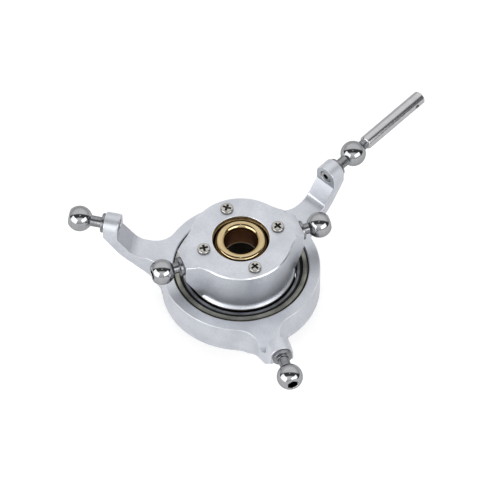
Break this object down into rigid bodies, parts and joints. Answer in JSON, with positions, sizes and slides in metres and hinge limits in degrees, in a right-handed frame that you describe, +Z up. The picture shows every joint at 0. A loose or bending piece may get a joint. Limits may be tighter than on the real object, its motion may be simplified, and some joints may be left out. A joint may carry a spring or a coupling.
{
  "type": "helicopter swashplate",
  "caption": "Swashplate of a model helicopter: a fixed ring with link-ball arms and a guide pin, and a hub that spins in it on a ball bearing and tilts about a brass centre ball.",
  "frame": {"origin": "centre of the centre ball, on the main shaft's axis", "axes": "+Z up along the main shaft, towards the rotor head; +Y out along the guide pin; +X completes the right-handed frame"},
  "size_m": [0.0484, 0.056, 0.0129],
  "materials": {
    "anodised_aluminium": "satin, bead blasted and clear anodised",
    "bearing_steel": "fine ground",
    "polished_steel": "polished",
    "turned_steel": "turned, satin",
    "nickel_screw": "bright nickel plate",
    "shield_steel": "pressed sheet, dark satin",
    "cage_nylon": "moulded",
    "seat_plastic": "moulded, low friction",
    "polished_brass": "polished"
  },
  "bodies": {
    "stationary": {"stationary_ring": "anodised_aluminium", "guide_pin_stud": "polished_steel", "arm_ball_stud_1": "polished_steel", "arm_ball_stud_2": "polished_steel", "bearing_outer_race": "bearing_steel", "bearing_upper_shield": "shield_steel", "bearing_lower_shield": "shield_steel", "upper_shield_clip": "turned_steel", "lower_shield_clip": "turned_steel"},
    "bearing_cage": {"bearing_cage": "cage_nylon", "bearing_balls": "polished_steel"},
    "rotating": {"rotating_hub": "anodised_aluminium", "clamp_sleeve": "anodised_aluminium", "clamp_screw_1": "nickel_screw", "clamp_screw_2": "nickel_screw", "clamp_screw_3": "nickel_screw", "clamp_screw_4": "nickel_screw", "hub_ball_stud_1": "polished_steel", "hub_ball_stud_2": "polished_steel", "bearing_inner_race": "bearing_steel"},
    "seat_liner": {"upper_seat_liner": "seat_plastic", "lower_seat_liner": "seat_plastic"},
    "centre_ball": {"centre_ball": "polished_brass"}
  },
  "joints": [
    {"name": "hub_spin", "type": "hinge", "parent": "stationary", "child": "rotating", "pos_m": [0, 0, 0], "axis": [0, 0, 1], "continuous": true},
    {"name": "cage_spin", "type": "hinge", "parent": "stationary", "child": "bearing_cage", "pos_m": [0, 0, 0], "axis": [0, 0, 1], "continuous": true},
    {"name": "swash_roll", "type": "hinge", "parent": "rotating", "child": "seat_liner", "pos_m": [0, 0, 0], "axis": [1, 0, 0], "range_deg": [-12, 12]},
    {"name": "swash_pitch", "type": "hinge", "parent": "seat_liner", "child": "centre_ball", "pos_m": [0, 0, 0], "axis": [0, 1, 0], "range_deg": [-12, 12]}
  ],
  "couplings": [
    {"joint": "cage_spin", "follows": "hub_spin", "ratio": 0.4559}
  ]
}
